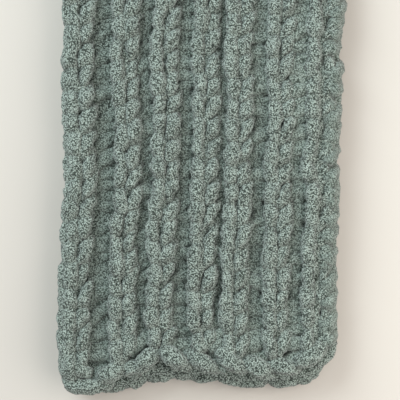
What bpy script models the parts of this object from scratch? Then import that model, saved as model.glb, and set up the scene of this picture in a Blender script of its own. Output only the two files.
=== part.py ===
"""A jumbo-knit throw blanket, folded once along its length and laid flat.

Units are metres and +Z is up. The origin is on the surface, under the middle of the folded blanket. +X runs
from the two loose side edges to the folded edge, and +Y runs along the knitted ribs, from the uneven cast-on
hem to the bound-off end. The cloth is one piece, so it is one solid: a hairpin section of two thick ribbed
layers a little apart, lofted from end to end.
"""

import math
from bisect import bisect_right
from collections import namedtuple

import bmesh
import bpy

# The cloth, laid out flat: ribs two strands wide, with a sunk channel between each and the next.
RIBS = 14
RIB_PITCH = 0.0537
RIB_WIDTH = 0.046
LENGTH = 1.016
CLOTH_WIDTH = (RIBS - 1) * RIB_PITCH + RIB_WIDTH

# One layer of it, and how the two layers lie.
LAYER_THICKNESS = 0.031
LAYER_GAP = 0.0025
CHANNEL_DEPTH = 0.010
INSIDE_CHANNEL_DEPTH = 0.006
FOLD_RADIUS = (LAYER_THICKNESS + LAYER_GAP) / 2
FOLD_ARC = math.pi * FOLD_RADIUS
LAYER_WIDTH = (CLOTH_WIDTH - FOLD_ARC) / 2
FOLDED_WIDTH = LAYER_WIDTH + FOLD_RADIUS + LAYER_THICKNESS / 2
FOLD_START_X = LAYER_WIDTH - FOLDED_WIDTH / 2
FOLD_CENTRE_Z = LAYER_THICKNESS + LAYER_GAP / 2

# How far each rib of the upper layer lies aside of an even spacing, towards the fold. Lower ones are even.
RibAside = namedtuple("RibAside", "rib aside")
RIBS_ASIDE = (
    RibAside(1, 0.0030),
    RibAside(2, 0.0125),
    RibAside(3, 0.0110),
    RibAside(4, 0.0135),
    RibAside(5, 0.0045),
    RibAside(6, 0.0070),
    RibAside(7, 0.0060),
    RibAside(8, 0.0000),
)

# A rib's section on the outside of the cloth: "across" is in pitches from its middle, and "rise" is from the
# bottom of a channel (0) to the top of a strand (1). Ribs pressed on the surface are flat between their tops.
RibPoint = namedtuple("RibPoint", "across rise")
RIB_SECTION = (
    RibPoint(-0.37, 0.60),
    RibPoint(-0.22, 1.00),
    RibPoint(0.00, 0.80),
    RibPoint(0.22, 1.00),
    RibPoint(0.37, 0.60),
)
PRESSED_RISE = 0.75
SIDE_EDGE_SHARE = 0.25

# How far the cloth's end stands back at the hem, by places counted in evenly spaced ribs. They count from the
# upper layer's loose side, so the fold is at 7.5 and ribs 8 to 14 lie underneath.
RibEnd = namedtuple("RibEnd", "rib set_back")
HEM = (
    RibEnd(1.0, 0.001),
    RibEnd(2.0, 0.016),
    RibEnd(3.0, 0.037),
    RibEnd(4.0, 0.031),
    RibEnd(5.0, 0.026),
    RibEnd(6.0, 0.028),
    RibEnd(7.0, 0.032),
    RibEnd(7.5, 0.043),
    RibEnd(8.0, 0.014),
    RibEnd(9.0, 0.008),
    RibEnd(10.0, 0.008),
    RibEnd(11.0, 0.016),
    RibEnd(12.0, 0.016),
    RibEnd(13.0, 0.000),
    RibEnd(14.0, 0.006),
)
FAR_END = (
    RibEnd(1.0, 0.006),
    RibEnd(4.25, 0.000),
    RibEnd(7.5, 0.014),
    RibEnd(11.0, 0.007),
    RibEnd(14.0, 0.010),
)
SCALLOP = 0.005

# How the outline wanders along the blanket, from the hem (0) to the far end (1). The shifts are to +X, in
# metres: of the upper layer's loose side, of the fold, and of the lower layer's loose side. "loose" is the
# depth left of the slack channel beside the folded edge.
Station = namedtuple("Station", "along side fold lower_side loose")
STATIONS = (
    Station(0.00, -0.003, -0.003, 0.004, 1.0),
    Station(0.06, -0.005, -0.003, 0.004, 1.0),
    Station(0.13, -0.005, -0.003, 0.003, 1.0),
    Station(0.19, -0.003, -0.002, 0.003, 1.0),
    Station(0.25, 0.001, 0.002, 0.004, 0.9),
    Station(0.29, 0.005, -0.002, 0.006, 0.7),
    Station(0.33, 0.003, 0.003, 0.006, 0.4),
    Station(0.40, 0.000, 0.005, 0.004, 0.3),
    Station(0.44, -0.001, 0.002, 0.004, 0.3),
    Station(0.50, 0.001, 0.009, 0.005, 0.5),
    Station(0.62, 0.002, 0.003, 0.003, 1.0),
    Station(0.76, -0.003, 0.000, 0.002, 1.0),
    Station(0.89, 0.001, 0.002, 0.003, 1.0),
    Station(1.00, 0.000, -0.001, 0.003, 1.0),
)
SLACK_CHANNEL = 6

# The rounded end of the cloth, from its edge inwards: a fat strand runs across it, then a crease.
EndRow = namedtuple("EndRow", "inset thickness channel")
END_ROWS = (
    EndRow(0.000, 0.40, 0.25),
    EndRow(0.005, 0.76, 0.30),
    EndRow(0.014, 1.00, 0.35),
    EndRow(0.025, 0.84, 0.60),
    EndRow(0.037, 1.00, 1.00),
)
BODY_SPANS = 30

SAGE_GREEN = (0.155, 0.205, 0.178, 1.0)


def smooth_reading(rows, place):
    """The table row at a place along its first column, eased between the two rows beside it."""
    places = [row[0] for row in rows]
    after = bisect_right(places, place)
    if after == 0:
        return rows[0]
    if after == len(rows):
        return rows[-1]
    before_row, after_row = rows[after - 1], rows[after]
    share = (place - before_row[0]) / (after_row[0] - before_row[0])
    eased = (1 - math.cos(math.pi * share)) / 2
    return type(before_row)(*(a + (b - a) * eased for a, b in zip(before_row, after_row)))


def rib_middle(rib):
    """Where a rib's middle lies across the flat cloth. Ribs count from 1, and x.5 is the channel after x."""
    return RIB_WIDTH / 2 + (rib - 1) * RIB_PITCH + smooth_reading(RIBS_ASIDE, rib).aside


def rib_at(across):
    """The rib that a place across the flat cloth is at, counted as rib_middle counts them."""
    middles = [rib_middle(rib) for rib in range(1, RIBS + 1)]
    before = min(max(bisect_right(middles, across), 1), RIBS - 1)
    return before + (across - middles[before - 1]) / (middles[before] - middles[before - 1])


def outside_points():
    """The section's outer points as (across, rise, channel), from one side edge of the cloth to the other."""
    points = []
    for rib in range(1, RIBS + 1):
        for point in RIB_SECTION:
            points.append((rib_middle(rib) + point.across * RIB_PITCH, point.rise, 0))
        if rib < RIBS:
            points.append((rib_middle(rib + 0.5), 0.0, rib))
    return points


def inside_points():
    """The section's inner points as (across, rise): a ridge backs each channel, and a trough each rib."""
    points = []
    for rib in range(1, RIBS + 1):
        points.append((rib_middle(rib), 0.0))
        if rib < RIBS:
            points.append((rib_middle(rib + 0.5), 1.0))
    return points


def folded(across, height):
    """(x, z) of a point of the flat cloth once it is folded, "height" being out from its middle surface."""
    if across < LAYER_WIDTH:
        return FOLD_START_X - LAYER_WIDTH + across, FOLD_CENTRE_Z + FOLD_RADIUS + height
    if across > LAYER_WIDTH + FOLD_ARC:
        past_fold = across - LAYER_WIDTH - FOLD_ARC
        return FOLD_START_X - past_fold, FOLD_CENTRE_Z - FOLD_RADIUS - height
    angle = (across - LAYER_WIDTH) / FOLD_RADIUS
    reach = FOLD_RADIUS + height
    return FOLD_START_X + reach * math.sin(angle), FOLD_CENTRE_Z + reach * math.cos(angle)


def end_line(rows, across):
    """How far the cloth's end stands back at a place across it, with a scallop between ribs."""
    even_rib = 1 + (across - RIB_WIDTH / 2) / RIB_PITCH
    scallop = SCALLOP * (1 - math.cos(2 * math.pi * rib_at(across))) / 2
    return smooth_reading(rows, even_rib).set_back + scallop


def placed(across, height, along):
    """The point of the folded blanket for a place on the flat cloth, in share of its length from the hem."""
    x, z = folded(across, height)
    station = smooth_reading(STATIONS, along)
    side = station.side if across < CLOTH_WIDTH / 2 else station.lower_side
    towards_fold = min(1.0, max(0.0, 0.5 + x / FOLDED_WIDTH))
    x += side + (station.fold - side) * towards_fold
    hem_y = -LENGTH / 2 + end_line(HEM, across)
    far_y = LENGTH / 2 - end_line(FAR_END, across)
    return x, hem_y + (far_y - hem_y) * along, z


def outside_height(across, rise, channel, end, along):
    """How far an outer point stands out from the cloth's middle surface."""
    depth = CHANNEL_DEPTH * end.channel
    if channel == SLACK_CHANNEL:
        depth *= smooth_reading(STATIONS, along).loose
    if across > LAYER_WIDTH + FOLD_ARC and rise > PRESSED_RISE:
        rise = 1.0
    return LAYER_THICKNESS / 2 * end.thickness - depth * (1 - rise)


def inside_height(rise, end):
    """How far an inner point stands from the cloth's middle surface, on its inner side."""
    return -(LAYER_THICKNESS / 2 * end.thickness - INSIDE_CHANNEL_DEPTH * end.channel * (1 - rise))


def section_points(along, end):
    """The closed hairpin section at a place along the blanket: outer points first, then inner ones back."""
    edge_height = LAYER_THICKNESS * SIDE_EDGE_SHARE * end.thickness
    outer = [(0.0, edge_height)]
    outer += [(a, outside_height(a, rise, channel, end, along)) for a, rise, channel in outside_points()]
    outer += [(CLOTH_WIDTH, edge_height)]
    inner = [(0.0, -edge_height)]
    inner += [(a, inside_height(rise, end)) for a, rise in inside_points()]
    inner += [(CLOTH_WIDTH, -edge_height)]
    return [placed(a, h, along) for a, h in outer + inner[::-1]]


def section_rows():
    """(along, end shape) of every section, from the hem to the far end."""
    whole = EndRow(0.0, 1.0, 1.0)
    hem_rows = [(row.inset / LENGTH, row) for row in END_ROWS]
    far_rows = [(1 - along, row) for along, row in reversed(hem_rows)]
    start, stop = hem_rows[-1][0], far_rows[0][0]
    body = [(start + (stop - start) * i / BODY_SPANS, whole) for i in range(1, BODY_SPANS)]
    return hem_rows + body + far_rows


def cap_faces(bm, loop):
    """Close an end of the loft with one face for each half rib, from its outer points to its inner ones."""
    outer_places = [0.0] + [point[0] for point in outside_points()] + [CLOTH_WIDTH]
    inner_places = [0.0] + [point[0] for point in inside_points()] + [CLOTH_WIDTH]
    marks = [outer_places.index(place) for place in inner_places]
    last = len(loop) - 1
    for i, (start, stop) in enumerate(zip(marks, marks[1:])):
        bm.faces.new(loop[start:stop + 1] + [loop[last - i - 1], loop[last - i]])


def make_blanket():
    bm = bmesh.new()
    loops = []
    for along, end in section_rows():
        loops.append([bm.verts.new(point) for point in section_points(along, end)])
    for near, far in zip(loops, loops[1:]):
        for i in range(len(near)):
            j = (i + 1) % len(near)
            bm.faces.new((near[i], near[j], far[j], far[i]))
    cap_faces(bm, loops[0])
    cap_faces(bm, loops[-1])
    bmesh.ops.triangulate(bm, faces=bm.faces)
    bmesh.ops.recalc_face_normals(bm, faces=bm.faces)
    across = [vert.co.x for vert in bm.verts]
    bmesh.ops.translate(bm, verts=bm.verts, vec=(-(min(across) + max(across)) / 2, 0, 0))
    mesh = bpy.data.meshes.new("blanket")
    bm.to_mesh(mesh)
    bm.free()
    mesh.shade_smooth()
    mesh.set_sharp_from_angle(angle=math.radians(50))
    blanket = bpy.data.objects.new("blanket", mesh)
    blanket.data.materials.append(chenille_material())
    return blanket


def chenille_material():
    material = bpy.data.materials.new("sage_chenille")
    material.use_nodes = True
    shader = material.node_tree.nodes["Principled BSDF"]
    shader.inputs["Base Color"].default_value = SAGE_GREEN
    shader.inputs["Roughness"].default_value = 0.95
    shader.inputs["Metallic"].default_value = 0.0
    return material


for old in list(bpy.data.objects):
    bpy.data.objects.remove(old, do_unlink=True)
folded_blanket = bpy.data.collections.new("folded_blanket")
bpy.context.scene.collection.children.link(folded_blanket)
folded_blanket.objects.link(make_blanket())
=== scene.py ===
"""A throw blanket knitted in jumbo chenille yarn, folded once along its length and laid flat."""

import math
import random
from bisect import bisect_right
from collections import namedtuple

import bmesh
import bpy
import numpy as np
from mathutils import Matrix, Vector


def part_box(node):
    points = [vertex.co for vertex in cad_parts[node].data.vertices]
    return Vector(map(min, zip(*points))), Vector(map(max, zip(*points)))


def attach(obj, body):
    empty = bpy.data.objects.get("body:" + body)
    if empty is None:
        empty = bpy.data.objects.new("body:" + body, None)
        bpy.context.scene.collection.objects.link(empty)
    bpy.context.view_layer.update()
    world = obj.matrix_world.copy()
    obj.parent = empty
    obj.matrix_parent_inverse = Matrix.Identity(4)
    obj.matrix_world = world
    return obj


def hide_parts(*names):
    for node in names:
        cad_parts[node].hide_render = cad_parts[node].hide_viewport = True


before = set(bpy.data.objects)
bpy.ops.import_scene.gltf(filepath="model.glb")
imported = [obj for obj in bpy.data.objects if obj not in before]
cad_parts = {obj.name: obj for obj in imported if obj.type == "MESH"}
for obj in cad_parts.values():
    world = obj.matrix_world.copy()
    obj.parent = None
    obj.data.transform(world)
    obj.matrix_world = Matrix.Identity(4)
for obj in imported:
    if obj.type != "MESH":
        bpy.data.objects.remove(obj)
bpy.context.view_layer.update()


# The ribs. Each is a column of knitted loops in jumbo chenille yarn. Two legs of every loop show: the left
# stands nearly upright and runs into the next, and the right leans and shows as a lump of its own. They are
# knitted in one with the channels and edges, so how the cloth lies and its yarn are set out here.

# How the cloth lies. It is 14 ribs wide, folded over lengthwise so that 7 ribs lie on top and 7 underneath.
# The channel between them turns round the fold. Places on it are given flat: across it from the upper layer's
# loose side, up it from the hem, and out from the middle of its thickness.

BOX_LOW, BOX_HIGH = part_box("blanket")
RIBS = 14
UPPER_RIBS = RIBS // 2
RIB_PITCH = 0.0537
RIB_WIDTH = 0.046
CLOTH_WIDTH = (RIBS - 1) * RIB_PITCH + RIB_WIDTH
CLOTH_LENGTH = BOX_HIGH[1] - BOX_LOW[1]
LAYER_GAP = 0.0025
LAYER_THICKNESS = (BOX_HIGH[2] - BOX_LOW[2] - LAYER_GAP) / 2
FOLD_RADIUS = (LAYER_THICKNESS + LAYER_GAP) / 2
FOLD_ARC = math.pi * FOLD_RADIUS
LAYER_WIDTH = (CLOTH_WIDTH - FOLD_ARC) / 2
FOLDED_WIDTH = LAYER_WIDTH + FOLD_RADIUS + LAYER_THICKNESS / 2
FOLD_START_X = LAYER_WIDTH - FOLDED_WIDTH / 2
FOLD_CENTRE_Z = LAYER_THICKNESS + LAYER_GAP / 2

# How far each rib of the upper layer lies aside of an even spacing, towards the fold. The lower ones are
# even.
RibAside = namedtuple("RibAside", "rib aside")
RIBS_ASIDE = (
    RibAside(1, 0.0030),
    RibAside(2, 0.0125),
    RibAside(3, 0.0110),
    RibAside(4, 0.0135),
    RibAside(5, 0.0045),
    RibAside(6, 0.0070),
    RibAside(7, 0.0060),
    RibAside(8, 0.0000),
)

# How far the cloth stands back at the hem and at the far end, by places counted in evenly spaced ribs. The
# fold is at 7.5.
RibEnd = namedtuple("RibEnd", "rib set_back")
HEM = (
    RibEnd(1.0, 0.001),
    RibEnd(2.0, 0.016),
    RibEnd(3.0, 0.037),
    RibEnd(4.0, 0.031),
    RibEnd(5.0, 0.026),
    RibEnd(6.0, 0.028),
    RibEnd(7.0, 0.032),
    RibEnd(7.5, 0.043),
    RibEnd(8.0, 0.014),
    RibEnd(9.0, 0.008),
    RibEnd(10.0, 0.008),
    RibEnd(11.0, 0.016),
    RibEnd(12.0, 0.016),
    RibEnd(13.0, 0.000),
    RibEnd(14.0, 0.006),
)
FAR_END = (
    RibEnd(1.0, 0.006),
    RibEnd(4.25, 0.000),
    RibEnd(7.5, 0.014),
    RibEnd(11.0, 0.007),
    RibEnd(14.0, 0.010),
)

# How the outline wanders along the blanket, from the hem (0) to the far end (1), in metres to +X.
Station = namedtuple("Station", "along side fold lower_side slack")
STATIONS = (
    Station(0.00, -0.003, -0.003, 0.004, 0.0),
    Station(0.06, -0.005, -0.003, 0.004, 0.0),
    Station(0.13, -0.005, -0.003, 0.003, 0.0),
    Station(0.19, -0.003, -0.002, 0.003, 0.0),
    Station(0.25, 0.001, 0.002, 0.004, 0.1),
    Station(0.29, 0.005, -0.002, 0.006, 0.4),
    Station(0.33, 0.003, 0.003, 0.006, 0.8),
    Station(0.40, 0.000, 0.005, 0.004, 1.0),
    Station(0.44, -0.001, 0.002, 0.004, 1.0),
    Station(0.50, 0.001, 0.009, 0.005, 0.7),
    Station(0.62, 0.002, 0.003, 0.003, 0.0),
    Station(0.76, -0.003, 0.000, 0.002, 0.0),
    Station(0.89, 0.001, 0.002, 0.003, 0.0),
    Station(1.00, 0.000, -0.001, 0.003, 0.0),
)


def smooth_reading(rows, place):
    """The table row at a place along its first column, eased between the two rows beside it."""
    after = bisect_right([row[0] for row in rows], place)
    if after == 0:
        return rows[0]
    if after == len(rows):
        return rows[-1]
    before_row, after_row = rows[after - 1], rows[after]
    share = (place - before_row[0]) / (after_row[0] - before_row[0])
    eased = (1 - math.cos(math.pi * share)) / 2
    return type(before_row)(*(a + (b - a) * eased for a, b in zip(before_row, after_row)))


def rib_middle(rib):
    """Where a rib's middle lies across the flat cloth. Ribs count from 1."""
    return RIB_WIDTH / 2 + (rib - 1) * RIB_PITCH + smooth_reading(RIBS_ASIDE, rib).aside


def folded(across, out):
    """(x, z) of a point of the flat cloth once it is folded."""
    if across < LAYER_WIDTH:
        return FOLD_START_X - LAYER_WIDTH + across, FOLD_CENTRE_Z + FOLD_RADIUS + out
    if across > LAYER_WIDTH + FOLD_ARC:
        past_fold = across - LAYER_WIDTH - FOLD_ARC
        return FOLD_START_X - past_fold, FOLD_CENTRE_Z - FOLD_RADIUS - out
    angle = (across - LAYER_WIDTH) / FOLD_RADIUS
    reach = FOLD_RADIUS + out
    return FOLD_START_X + reach * math.sin(angle), FOLD_CENTRE_Z + reach * math.cos(angle)


def laid(across, up, out):
    """The folded blanket's point for a place on the flat cloth, "up" being metres from the hem."""
    x, z = folded(across, out)
    along = up / CLOTH_LENGTH
    station = smooth_reading(STATIONS, along)
    side = station.side if across < CLOTH_WIDTH / 2 else station.lower_side
    towards_fold = min(1.0, max(0.0, 0.5 + x / FOLDED_WIDTH))
    x += side + (station.fold - side) * towards_fold
    rib = 1 + (across - RIB_WIDTH / 2) / RIB_PITCH
    hem_y = BOX_LOW[1] + smooth_reading(HEM, rib).set_back
    far_y = BOX_HIGH[1] - smooth_reading(FAR_END, rib).set_back
    return x, hem_y + (far_y - hem_y) * along, z


# The yarn. It is a fat sage chenille: short cut pile twisted round a core. Its clumps and tufts are modelled.

# The shade value towards which the painted shade and highlight of sunk yarn are pulled.
MIDDLE_SHADE = 0.54


def chenille():
    """Sage chenille, with painted highlight on its tufts and painted shade in the pits between them."""
    material = bpy.data.materials.new("sage_chenille")
    material.use_nodes = True
    nodes, links = material.node_tree.nodes, material.node_tree.links
    shader = nodes["Principled BSDF"]
    shader.inputs["Roughness"].default_value = 0.95
    shader.inputs["Specular IOR Level"].default_value = 0.2
    shader.inputs["Sheen Weight"].default_value = 0.25
    shader.inputs["Sheen Roughness"].default_value = 0.6
    place = nodes.new("ShaderNodeTexCoord").outputs["Object"]
    curl = nodes.new("ShaderNodeTexNoise")
    curl.inputs["Scale"].default_value = 300
    curl.inputs["Detail"].default_value = 1
    links.new(place, curl.inputs["Vector"])
    curled = nodes.new("ShaderNodeVectorMath")
    curled.operation = "MULTIPLY_ADD"
    curled.inputs[1].default_value = (0.0028, 0.0028, 0.0028)
    links.new(curl.outputs["Color"], curled.inputs[0])
    links.new(place, curled.inputs[2])
    tufts = nodes.new("ShaderNodeTexVoronoi")
    tufts.inputs["Scale"].default_value = 490
    tufts.inputs["Randomness"].default_value = 0.85
    links.new(curled.outputs["Vector"], tufts.inputs["Vector"])
    tips = nodes.new("ShaderNodeMapRange")
    tips.interpolation_type = "SMOOTHSTEP"
    tips.inputs["From Min"].default_value = 0.80
    tips.inputs["From Max"].default_value = 0.20
    links.new(tufts.outputs["Distance"], tips.inputs["Value"])
    fibres = nodes.new("ShaderNodeTexNoise")
    fibres.inputs["Scale"].default_value = 640
    fibres.inputs["Detail"].default_value = 3
    links.new(place, fibres.inputs["Vector"])
    # How proud the pile stands, for painted shade in its low spots and painted highlight on its tops.
    raised = nodes.new("ShaderNodeAttribute")
    raised.attribute_name = "pile"
    shade = None
    # Tips, fibres and how proud the pile stands are mixed into one height, which gives the painted shade and
    # highlight and the bumps.
    shares = ((tips.outputs["Result"], 0.70), (fibres.outputs["Fac"], 0.22), (raised.outputs["Fac"], 0.20))
    for source, share in shares:
        part = nodes.new("ShaderNodeMath")
        part.operation = "MULTIPLY_ADD"
        part.inputs[1].default_value = share
        part.inputs[2].default_value = 0
        links.new(source, part.inputs[0])
        if shade:
            links.new(shade.outputs["Value"], part.inputs[2])
        shade = part
    evened = nodes.new("ShaderNodeMath")
    evened.operation = "SUBTRACT"
    evened.inputs[1].default_value = MIDDLE_SHADE
    links.new(shade.outputs["Value"], evened.inputs[0])
    # Sunk yarn, such as the channels', has its painted shade and highlight pulled towards the middle shade.
    lumps_and_painted_shade = nodes.new("ShaderNodeAttribute")
    lumps_and_painted_shade.attribute_name = "lumps_and_painted_shade"
    shade = nodes.new("ShaderNodeMath")
    shade.operation = "MULTIPLY_ADD"
    shade.inputs[2].default_value = MIDDLE_SHADE
    links.new(evened.outputs["Value"], shade.inputs[0])
    links.new(lumps_and_painted_shade.outputs["Fac"], shade.inputs[1])
    # Painted shade and highlight: the low spots of the pile take the dark colours and the tufts' tips the
    # light ones.
    colour = nodes.new("ShaderNodeValToRGB")
    ramp = colour.color_ramp
    ramp.elements[0].position = 0.12
    ramp.elements[0].color = (0.022, 0.030, 0.025, 1)
    ramp.elements[1].position = 1.0
    ramp.elements[1].color = (0.478, 0.569, 0.518, 1)
    ramp.elements.new(0.38).color = (0.049, 0.067, 0.054, 1)
    ramp.elements.new(0.78).color = (0.333, 0.403, 0.358, 1)
    links.new(shade.outputs["Value"], colour.inputs["Fac"])
    links.new(colour.outputs["Color"], shader.inputs["Base Color"])
    # The same height gives the bumps.
    bump = nodes.new("ShaderNodeBump")
    bump.inputs["Strength"].default_value = 0.6
    bump.inputs["Distance"].default_value = 0.0022
    links.new(shade.outputs["Value"], bump.inputs["Height"])
    links.new(bump.outputs["Normal"], shader.inputs["Normal"])
    return material


CHENILLE = chenille()
YARN = 0.021
TUFT_SIZE = 0.0060
TUFT_HEIGHT = 0.0032
LUMP_SIZE = 0.013
LUMP_HEIGHT = 0.0040
CRUMB_HEIGHT = 0.0004
PILE_MIDDLE = 0.4
PRESSED = 0.002
WELD = 0.00001


def pile_texture(name, kind, size):
    texture = bpy.data.textures.new(name, kind)
    texture.noise_scale = size
    return texture


TUFTS = pile_texture("tufts", "VORONOI", TUFT_SIZE)
LUMPS = pile_texture("lumps", "VORONOI", LUMP_SIZE)


def applied(piece):
    """The piece as a plain mesh, with its curve and modifiers worked out."""
    evaluated = piece.evaluated_get(bpy.context.evaluated_depsgraph_get())
    mesh = bpy.data.meshes.new_from_object(evaluated)
    mesh.name = piece.name
    name = piece.name
    bpy.data.objects.remove(piece, do_unlink=True)
    solid = bpy.data.objects.new(name, mesh)
    bpy.context.scene.collection.objects.link(solid)
    return solid


def vertex_numbers(mesh, what):
    numbers = np.empty(len(mesh.vertices) * 3, dtype=np.float32)
    mesh.vertices.foreach_get(what, numbers)
    return numbers.reshape(-1, 3)


def raise_pile(piece, lumps_and_painted_shade=1.0):
    """Push out the clumps and tufts of the pile, and note how proud each spot stands.

    Sunken yarn has lower lumps, and the material pulls its painted shade and highlight towards the middle
    shade.
    The pile is pressed flat where the blanket lies on the surface.
    """
    smooth = vertex_numbers(piece.data, "co").copy()
    outwards = vertex_numbers(piece.data, "normal").copy()
    lumps = piece.modifiers.new("lumps", "DISPLACE")
    lumps.texture = LUMPS
    lumps.texture_coords = "LOCAL"
    lumps.strength = -LUMP_HEIGHT * lumps_and_painted_shade
    lumps.mid_level = PILE_MIDDLE
    tufts = piece.modifiers.new("tufts", "DISPLACE")
    tufts.texture = TUFTS
    tufts.texture_coords = "LOCAL"
    tufts.strength = -TUFT_HEIGHT
    tufts.mid_level = PILE_MIDDLE
    piece = applied(piece)
    crumbs = np.random.default_rng(len(smooth)).uniform(-CRUMB_HEIGHT, CRUMB_HEIGHT, len(smooth))
    fuzzy = vertex_numbers(piece.data, "co") + outwards * crumbs[:, None]
    low = fuzzy[:, 2] < PRESSED
    fuzzy[low, 2] = PRESSED * np.exp(fuzzy[low, 2] / PRESSED - 1)
    proud = ((fuzzy - smooth) * outwards).sum(1)
    piece.data.vertices.foreach_set("co", fuzzy.astype(np.float32).ravel())
    # The material paints shade where the pile lies low and highlight where it stands proud, from this value.
    pile = piece.data.attributes.new("pile", "FLOAT", "POINT")
    pile.data.foreach_set("value", (0.5 + proud / (TUFT_HEIGHT + LUMP_HEIGHT)).astype(np.float32))
    # How strongly the material paints shade and highlight on this piece's tufts; it also scaled the lumps
    # above.
    painted_shade_layer = piece.data.attributes.new("lumps_and_painted_shade", "FLOAT", "POINT")
    painted_shade_layer.data.foreach_set("value", np.full(len(smooth), lumps_and_painted_shade, dtype=np.float32))
    piece.data.update()
    return piece


def yarn(name, strands, sides, rings, lumps_and_painted_shade=1.0):
    """Strands of yarn as one mesh. A strand is a list of (across, up, out, thickness) on the flat cloth."""
    curve = bpy.data.curves.new(name, "CURVE")
    curve.dimensions = "3D"
    curve.bevel_depth = 1.0
    curve.bevel_resolution = sides // 2 - 2
    curve.use_fill_caps = True
    for strand in strands:
        spline = curve.splines.new("NURBS")
        spline.points.add(len(strand) - 1)
        for point, (across, up, out, thickness) in zip(spline.points, strand):
            point.co = (*laid(across, up, out), 1)
            point.radius = thickness / 2
        spline.order_u = 3
        spline.use_endpoint_u = True
        spline.resolution_u = rings
    piece = bpy.data.objects.new(name, curve)
    bpy.context.scene.collection.objects.link(piece)
    piece = applied(piece)
    bm = bmesh.new()
    bm.from_mesh(piece.data)
    bmesh.ops.remove_doubles(bm, verts=bm.verts, dist=WELD)
    bm.to_mesh(piece.data)
    bm.free()
    piece = raise_pile(piece, lumps_and_painted_shade)
    piece.data.shade_smooth()
    piece.data.materials.append(CHENILLE)
    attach(piece, "root")
    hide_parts("blanket")
    return piece


# The loops. Each part of a loop is a short strand, given by places round the rib's middle: up is in rows, and
# thickness in thicknesses of the yarn.

ROWS = 32
FIRST_ROW = 0.028
ROW = (CLOTH_LENGTH - 2 * FIRST_ROW) / ROWS
LegPoint = namedtuple("LegPoint", "across up out thickness")
LEFT_LEG = (
    LegPoint(-0.0098, -0.22, -0.0030, 0.72),
    LegPoint(-0.0110, 0.08, 0.0046, 0.96),
    LegPoint(-0.0118, 0.47, 0.0068, 1.05),
    LegPoint(-0.0120, 0.84, 0.0044, 0.96),
    LegPoint(-0.0104, 1.14, -0.0030, 0.72),
)
RIGHT_LEG = (
    LegPoint(-0.0014, -0.22, -0.0060, 0.62),
    LegPoint(0.0020, 0.11, 0.0020, 0.86),
    LegPoint(0.0062, 0.47, 0.0050, 0.96),
    LegPoint(0.0100, 0.83, 0.0018, 0.86),
    LegPoint(0.0126, 1.14, -0.0066, 0.62),
)
HEAD = (
    LegPoint(-0.0115, 0.80, -0.0040, 0.80),
    LegPoint(-0.0062, 1.15, -0.0030, 0.84),
    LegPoint(0.0008, 1.20, -0.0030, 0.84),
    LegPoint(0.0080, 0.85, -0.0040, 0.80),
)

FOLD_RIB = UPPER_RIBS
FOLD_SPREAD = 1.25
FOLD_ASIDE = 0.0030
FOLD_CREASE = 0.0010
SPINE_ASIDE = -0.0028
SPINE_OUT = -0.0030
SPINE_THICKNESS = 0.79
RIB_SEED = 100
HEADS_SEED = 150

# How much the loops differ by chance, and then the places along one strand.
LoopChance = namedtuple("LoopChance", "aside lean proud stout shift")
LOOP_CHANCE = LoopChance(0.0014, 0.0024, 0.0010, 0.06, 0.08)
PlaceChance = namedtuple("PlaceChance", "aside proud stout")
PLACE_CHANCE = PlaceChance(0.0009, 0.0007, 0.10)


def legs_middle(rib):
    """The middle of a rib's legs, which stand a little towards the fold beside it."""
    return rib_middle(rib) + (FOLD_ASIDE if rib == FOLD_RIB else 0.0)


def loop_part(rib, row, shape, chance):
    """A leg or the head of one loop. The legs of the rib beside the fold are pulled apart."""
    spread = FOLD_SPREAD if rib == FOLD_RIB else 1.0
    aside = chance.gauss(0, LOOP_CHANCE.aside)
    lean = chance.gauss(0, LOOP_CHANCE.lean)
    proud = chance.gauss(0, LOOP_CHANCE.proud)
    stout = 1 + chance.gauss(0, LOOP_CHANCE.stout)
    shift = chance.gauss(0, LOOP_CHANCE.shift)
    strand = []
    for point in shape:
        across = legs_middle(rib) + spread * point.across + aside + lean * (point.up - 0.5)
        across += chance.gauss(0, PLACE_CHANCE.aside)
        up = FIRST_ROW + (row + point.up + shift) * ROW
        out = point.out + proud + chance.gauss(0, PLACE_CHANCE.proud)
        thickness = point.thickness * YARN * stout * (1 + chance.gauss(0, PLACE_CHANCE.stout))
        strand.append((across, up, out, thickness))
    return strand


def knit_rib(rib):
    chance = random.Random(RIB_SEED + rib)
    strands = []
    for row in range(ROWS):
        strands.append(loop_part(rib, row, LEFT_LEG, chance))
        strands.append(loop_part(rib, row, RIGHT_LEG, chance))
    sides, rings = (26, 4) if rib <= UPPER_RIBS else (12, 2)
    return yarn(f"rib_{rib:02d}", strands, sides, rings)


def knit_heads(rib):
    """The heads of a rib's loops, which join the two legs, and a spine that closes the crease between."""
    chance = random.Random(HEADS_SEED + rib)
    deeper = FOLD_CREASE if rib == FOLD_RIB else 0.0
    head = [LegPoint(point.across, point.up, point.out - deeper, point.thickness) for point in HEAD]
    strands = [loop_part(rib, row, head, chance) for row in range(ROWS)]
    middle = legs_middle(rib) + SPINE_ASIDE
    out = SPINE_OUT - deeper
    thickness = SPINE_THICKNESS * YARN
    spine = [(middle, FIRST_ROW + step * ROW / 2, out, thickness) for step in range(-1, 2 * ROWS + 2)]
    strands.append(spine)
    return yarn(f"rib_{rib:02d}_heads", strands, sides=12 if rib <= UPPER_RIBS else 8, rings=2)


ribs = [knit_rib(rib) for rib in range(1, RIBS + 1)]
heads = [knit_heads(rib) for rib in range(1, RIBS + 1)]


# The channels. Between two ribs the yarn goes over to the other face, and what shows is one bar of chenille a
# row, sunk between the legs beside it. A bar of the other face shows above each, and a strand behind them
# closes the holes. They are knitted in one with the ribs.

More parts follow.
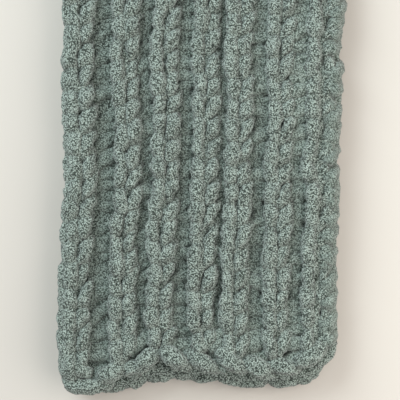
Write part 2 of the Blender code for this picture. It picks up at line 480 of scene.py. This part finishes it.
BarPoint = namedtuple("BarPoint", "across up out thickness")
BAR = (
    BarPoint(-0.0170, 0.28, -0.0100, 1.02),
    BarPoint(-0.0080, 0.36, -0.0104, 1.05),
    BarPoint(0.0000, 0.40, -0.0102, 1.08),
    BarPoint(0.0080, 0.40, -0.0104, 1.05),
    BarPoint(0.0170, 0.36, -0.0100, 1.02),
)
UNDER_BAR = (
    BarPoint(-0.0170, 0.95, -0.0118, 0.94),
    BarPoint(0.0000, 0.90, -0.0126, 0.94),
    BarPoint(0.0170, 0.88, -0.0112, 0.96),
)
ChannelRise = namedtuple("ChannelRise", "channel rise")
CHANNEL_RISES = (
    ChannelRise(1, -0.0060),
    ChannelRise(2, -0.0020),
    ChannelRise(3, -0.0032),
    ChannelRise(4, 0.0006),
    ChannelRise(5, -0.0012),
    ChannelRise(6, 0.0010),
    ChannelRise(7, 0.0200),
    ChannelRise(8, 0.0),
)
SLACK_CHANNEL = 6
SLACK_BULGE = 0.005
SLACK_SWELL = 0.08
FOLD_CHANNEL = UPPER_RIBS
FOLD_TILT = 0.5
HEM_BAR_RISE = 0.0050
CHANNEL_ASIDE = -0.0024
FLOOR_OUT = -0.0122
FOLD_FLOOR_OUT = -0.0120
FLOOR_THICKNESS = 0.94
CHANNEL_SEED = 200
# Channel yarn has lower lumps and weaker painted shade and highlight on its tufts.
CHANNEL_LUMPS_AND_PAINTED_SHADE = 0.6
BarChance = namedtuple("BarChance", "tilt shift proud stout")
BAR_CHANCE = BarChance(0.22, 0.09, 0.0014, 0.05)


def channel_middle(channel):
    return (rib_middle(channel) + rib_middle(channel + 1)) / 2 + CHANNEL_ASIDE


def bar(channel, row, shape, chance):
    """One bar across a channel. It bulges where the knitting is slack, and stands proud beside the hem."""
    slack = 0.0
    if channel == SLACK_CHANNEL:
        slack = smooth_reading(STATIONS, (FIRST_ROW + row * ROW) / CLOTH_LENGTH).slack
    tilt = chance.gauss(0, BAR_CHANCE.tilt)
    if channel == FOLD_CHANNEL:
        tilt = tilt + FOLD_TILT if row < ROWS else 0.0
    shift = chance.gauss(0, BAR_CHANCE.shift)
    proud = chance.gauss(0, BAR_CHANCE.proud) + SLACK_BULGE * slack
    proud += smooth_reading(CHANNEL_RISES, channel).rise
    if row < 1 and channel < FOLD_CHANNEL:
        proud += HEM_BAR_RISE
    stout = 1 + chance.gauss(0, BAR_CHANCE.stout) + SLACK_SWELL * slack
    wide = (rib_middle(channel + 1) - rib_middle(channel)) / RIB_PITCH
    strand = []
    for point in shape:
        across = channel_middle(channel) + wide * point.across
        up = FIRST_ROW + (row + point.up + shift + tilt * point.across / RIB_WIDTH * 2) * ROW
        strand.append((across, up, point.out + proud, point.thickness * YARN * stout))
    return strand


def knit_channel(channel):
    chance = random.Random(CHANNEL_SEED + channel)
    strands = []
    for row in range(-1 if channel < FOLD_CHANNEL else 0, ROWS):
        strands.append(bar(channel, row, BAR, chance))
        strands.append(bar(channel, row, UNDER_BAR, chance))
    strands.append(bar(channel, ROWS, BAR, chance))
    middle = channel_middle(channel)
    floor_out = FOLD_FLOOR_OUT if channel == FOLD_CHANNEL else FLOOR_OUT
    out = smooth_reading(CHANNEL_RISES, channel).rise + floor_out
    thickness = FLOOR_THICKNESS * YARN
    strands.append([(middle, FIRST_ROW + step * ROW / 2, out, thickness) for step in range(2 * ROWS + 1)])
    sides, rings = (18, 3) if channel <= UPPER_RIBS else (10, 2)
    return yarn(f"channel_{channel:02d}", strands, sides, rings, lumps_and_painted_shade=CHANNEL_LUMPS_AND_PAINTED_SHADE)


channels = [knit_channel(channel) for channel in range(1, RIBS)]


# The two ends. The cloth is cast on at the hem and bound off at the far end. Each edge is a fat cord of two
# strands of the same chenille that twist about each other round the fold, with lobes lying over it.

CORD_LAY = 0.074
CORD_TWIST = 0.0035
CORD_OUT = -0.0095
LOWER_CORD_OUT = -0.0030
CORD_THICKNESS = 0.74
CORD_STEP = 0.009
CORD_IN = 0.0155
CORD_START = 0.4
CORD_TURNS = (0.8, 1.2)
HEM_SEED = 301
FAR_END_SEED = 302
Lobe = namedtuple("Lobe", "across up length slant out fat")
HEM_LOBES = (
    Lobe(0.071, 0.014, 0.038, 14, 0.006, 1.18),
    Lobe(0.098, 0.012, 0.036, -6, 0.001, 1.00),
    Lobe(0.120, 0.014, 0.038, 30, 0.007, 1.16),
    Lobe(0.156, 0.016, 0.040, -30, 0.010, 1.18),
    Lobe(0.195, 0.015, 0.042, -32, 0.007, 1.16),
    Lobe(0.235, 0.019, 0.042, -36, 0.010, 1.20),
    Lobe(0.270, 0.010, 0.042, -32, 0.007, 1.18),
    Lobe(0.306, 0.009, 0.040, -20, 0.003, 1.08),
    Lobe(0.346, 0.022, 0.048, 22, 0.007, 1.30),
    Lobe(0.398, 0.011, 0.040, -28, -0.001, 1.02),
    Lobe(0.434, 0.006, 0.044, 4, -0.001, 1.10),
    Lobe(0.476, 0.008, 0.042, -12, -0.001, 1.08),
    Lobe(0.513, 0.010, 0.036, 12, -0.001, 1.04),
    Lobe(0.549, 0.008, 0.038, -8, -0.001, 1.08),
    Lobe(0.580, 0.009, 0.034, 10, -0.001, 1.02),
    Lobe(0.610, 0.008, 0.040, -6, -0.001, 1.10),
    Lobe(0.650, 0.010, 0.038, 10, -0.001, 1.04),
    Lobe(0.686, 0.007, 0.042, -4, -0.001, 1.10),
    Lobe(0.720, 0.013, 0.036, 20, -0.001, 1.04),
)


def edge_core(from_end, seed):
    """The two strands that twist about each other along an end of the cloth."""
    chance = random.Random(seed)
    strands = []
    steps = int((CLOTH_WIDTH - YARN) / CORD_STEP)
    turns = [chance.uniform(*CORD_TURNS) for _ in range(steps + 1)]
    for start in (CORD_START, CORD_START + math.pi):
        angle = start
        strand = []
        for step in range(steps + 1):
            across = YARN / 2 + step * (CLOTH_WIDTH - YARN) / steps
            angle += 2 * math.pi * CORD_STEP / CORD_LAY * turns[step]
            up = from_end(CORD_IN - CORD_TWIST * math.cos(angle))
            out = CORD_OUT if across < CLOTH_WIDTH / 2 else LOWER_CORD_OUT
            strand.append((across, up, out + CORD_TWIST * math.sin(angle), YARN * CORD_THICKNESS))
        strands.append(strand)
    return strands


LobePoint = namedtuple("LobePoint", "share sink thickness")
LOBE_SHAPE = (
    LobePoint(-0.60, 0.016, 0.50),
    LobePoint(-0.43, 0.006, 0.90),
    LobePoint(0.00, -0.001, 1.16),
    LobePoint(0.43, 0.006, 0.90),
    LobePoint(0.60, 0.016, 0.50),
)
UNDER_LOBE_DIP = 0.4


def edge_lobe(lobe, from_end):
    """One fat lobe of the edge. Its ends tuck into the cord above, and dip towards the floor underneath."""
    slant = math.radians(lobe.slant)
    strand = []
    for point in LOBE_SHAPE:
        across = lobe.across + point.share * lobe.length * math.cos(slant)
        up = from_end(lobe.up + point.share * lobe.length * math.sin(slant))
        out = lobe.out - point.sink if lobe.out > 0 else lobe.out + UNDER_LOBE_DIP * point.sink
        strand.append((across, up, out, YARN * lobe.fat * point.thickness))
    return strand


FIRST_LOBE = 0.029
LAST_LOBE = CLOTH_WIDTH - 0.026
LOBE_OUT = 0.003
LOBE_LAP = 0.86
LobeChance = namedtuple("LobeChance", "up up_chance shortest longest slant_chance thinnest fattest")
LOBE_CHANCE = LobeChance(0.013, 0.002, 0.036, 0.048, 14, 1.0, 1.14)
LOBES_SEED = 303


def chance_lobes(seed):
    """The lobes of the far end, each lapping over the one before it by chance."""
    chance = random.Random(seed)
    lobes = []
    across = FIRST_LOBE
    while across < LAST_LOBE:
        up = chance.gauss(LOBE_CHANCE.up, LOBE_CHANCE.up_chance)
        length = chance.uniform(LOBE_CHANCE.shortest, LOBE_CHANCE.longest)
        slant = chance.gauss(0, LOBE_CHANCE.slant_chance)
        out = LOBE_OUT if across < CLOTH_WIDTH / 2 else -LOBE_OUT
        fat = chance.uniform(LOBE_CHANCE.thinnest, LOBE_CHANCE.fattest)
        lobes.append(Lobe(across, up, length, slant, out, fat))
        across += length * LOBE_LAP
    return lobes


def edge_cord(name, lobes, from_end, seed, corners=(), sides=28, rings=4):
    strands = edge_core(from_end, seed) + [edge_lobe(lobe, from_end) for lobe in lobes] + list(corners)
    return yarn(name, strands, sides, rings)


# The strands that turn the corners: the upper loose side into the hem, the hem's own end, and the fold into
# the hem.
CornerPoint = namedtuple("CornerPoint", "across up out thickness")
SIDE_CORNER = (
    CornerPoint(0.0120, 0.0860, -0.0060, 0.80),
    CornerPoint(0.0100, 0.0690, 0.0010, 0.98),
    CornerPoint(0.0105, 0.0520, 0.0040, 1.06),
    CornerPoint(0.0180, 0.0390, 0.0050, 1.10),
    CornerPoint(0.0310, 0.0290, 0.0030, 1.04),
    CornerPoint(0.0440, 0.0210, -0.0040, 0.84),
)
HEM_CORNER = (
    CornerPoint(0.0110, 0.0300, -0.0090, 0.84),
    CornerPoint(0.0110, 0.0160, -0.0020, 1.02),
    CornerPoint(0.0210, 0.0080, 0.0000, 1.10),
    CornerPoint(0.0400, 0.0050, 0.0010, 1.12),
    CornerPoint(0.0580, 0.0000, -0.0020, 1.04),
    CornerPoint(0.0700, -0.0020, -0.0100, 0.80),
)
FOLD_CORNER = (
    CornerPoint(0.3720, 0.0760, 0.0050, 0.84),
    CornerPoint(0.3720, 0.0560, 0.0090, 0.98),
    CornerPoint(0.3715, 0.0340, 0.0090, 1.06),
    CornerPoint(0.3690, 0.0160, 0.0070, 1.08),
    CornerPoint(0.3620, 0.0080, 0.0030, 1.00),
    CornerPoint(0.3520, 0.0080, -0.0050, 0.84),
)


def from_hem(distance):
    return distance


def from_far_end(distance):
    return CLOTH_LENGTH - distance


def corner_strand(points):
    return [(point.across, point.up, point.out, point.thickness * YARN) for point in points]


corners = [corner_strand(points) for points in (SIDE_CORNER, HEM_CORNER, FOLD_CORNER)]
hem_cord = edge_cord("hem_cord", HEM_LOBES, from_hem, HEM_SEED, corners)
far_lobes = chance_lobes(LOBES_SEED)
far_cord = edge_cord("far_cord", far_lobes, from_far_end, FAR_END_SEED, sides=20, rings=3)


# The two loose sides. The chenille turns back at the end of every row, as a loop round the edge of the cloth,
# knitted in one with the outermost rib of its layer.

TurnPoint = namedtuple("TurnPoint", "across up out thickness")
TURN = (
    TurnPoint(0.0140, -0.25, -0.0040, 0.84),
    TurnPoint(0.0100, 0.00, 0.0010, 0.94),
    TurnPoint(0.0085, 0.45, 0.0020, 0.98),
    TurnPoint(0.0090, 0.85, -0.0020, 0.94),
    TurnPoint(0.0140, 1.10, -0.0060, 0.84),
)
TurnChance = namedtuple("TurnChance", "shift aside")
TURN_CHANCE = TurnChance(0.08, 0.0010)
UPPER_SIDE_SEED = 401
LOWER_SIDE_SEED = 402


def side_edge(name, inwards, seed, sides):
    """The loops down one loose side, "inwards" turning a distance from the edge into a place on the cloth."""
    chance = random.Random(seed)
    strands = []
    for row in range(ROWS):
        shift = chance.gauss(0, TURN_CHANCE.shift)
        aside = chance.gauss(0, TURN_CHANCE.aside)
        strand = []
        for point in TURN:
            up = FIRST_ROW + (row + point.up + shift) * ROW
            strand.append((inwards(point.across + aside), up, point.out, point.thickness * YARN))
        strands.append(strand)
    return yarn(name, strands, sides, rings=3)


def from_upper_side(distance):
    return distance


def from_lower_side(distance):
    return CLOTH_WIDTH - distance


upper_side = side_edge("upper_side", from_upper_side, UPPER_SIDE_SEED, sides=18)
lower_side = side_edge("lower_side", from_lower_side, LOWER_SIDE_SEED, sides=12)


# The inner face of the knitting, where the loops of both layers lie against each other inside the fold. It is
# the thin web that every loop passes through, and it carries the ribs, the bars and the edges.

WEB_CELL = 0.011
WEB_OUT = -0.0122
WEB_THICKNESS = 0.0065
WEB_MARGIN = 0.007


def knit_web():
    bm = bmesh.new()
    wide, long = CLOTH_WIDTH - 2 * WEB_MARGIN, CLOTH_LENGTH - 2 * WEB_MARGIN
    bmesh.ops.create_grid(bm, x_segments=round(wide / WEB_CELL), y_segments=round(long / WEB_CELL), size=0.5)
    for vert in bm.verts:
        across = WEB_MARGIN + (vert.co.x + 0.5) * wide
        up = WEB_MARGIN + (vert.co.y + 0.5) * long
        vert.co = laid(across, up, WEB_OUT)
    bmesh.ops.recalc_face_normals(bm, faces=bm.faces)
    mesh = bpy.data.meshes.new("inner_face")
    bm.to_mesh(mesh)
    bm.free()
    web = bpy.data.objects.new("inner_face", mesh)
    bpy.context.scene.collection.objects.link(web)
    wall = web.modifiers.new("wall", "SOLIDIFY")
    wall.thickness = WEB_THICKNESS
    wall.offset = 0
    web = raise_pile(applied(web))
    web.data.shade_smooth()
    web.data.materials.append(CHENILLE)
    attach(web, "root")
    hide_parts("blanket")
    return web


web = knit_web()


# The floor, the light and the camera. A pale plain floor, a broad soft light from the upper left and a camera
# straight above the hem half of the blanket, which runs out of view at the top.

bpy.ops.mesh.primitive_plane_add(size=6, location=(0, 0, 0))
floor = bpy.context.object
floor.name = "floor"
pale = bpy.data.materials.new("pale_floor")
pale.use_nodes = True
pale.node_tree.nodes["Principled BSDF"].inputs["Base Color"].default_value = (0.62, 0.58, 0.53, 1)
pale.node_tree.nodes["Principled BSDF"].inputs["Roughness"].default_value = 0.9
floor.data.materials.append(pale)


def soft_light(name, place, aim, size, power, colour):
    """A square area light at a place, turned to its aim."""
    light = bpy.data.lights.new(name, "AREA")
    light.size = size
    light.energy = power
    light.color = colour
    lamp = bpy.data.objects.new(name, light)
    lamp.location = place
    direction = Vector([a - p for a, p in zip(aim, place)])
    lamp.rotation_euler = direction.to_track_quat("-Z", "Y").to_euler()
    bpy.context.scene.collection.objects.link(lamp)


soft_light("window", (-1.25, 1.30, 1.70), (0, 0, 0), 1.6, 60, (0.86, 0.97, 1.0))
soft_light("room", (0.80, -0.45, 0.90), (0, -0.2, 0), 1.3, 11.5, (1.0, 0.95, 0.89))
world = bpy.data.worlds.new("studio")
world.use_nodes = True
world.node_tree.nodes["Background"].inputs["Color"].default_value = (1, 1, 1, 1)
world.node_tree.nodes["Background"].inputs["Strength"].default_value = 0.54
bpy.context.scene.world = world
bpy.context.scene.view_settings.view_transform = "Standard"

VIEW_WIDTH = 0.546
VIEW_MIDDLE = BOX_LOW[1] + 0.2648
VIEW_LEVEL = 0.055
CAMERA_HEIGHT = 2.2
camera_data = bpy.data.cameras.new("camera")
camera_data.lens = camera_data.sensor_width * CAMERA_HEIGHT / VIEW_WIDTH
camera = bpy.data.objects.new("camera", camera_data)
camera.location = (0, VIEW_MIDDLE, VIEW_LEVEL + CAMERA_HEIGHT)
bpy.context.scene.collection.objects.link(camera)
bpy.context.scene.camera = camera
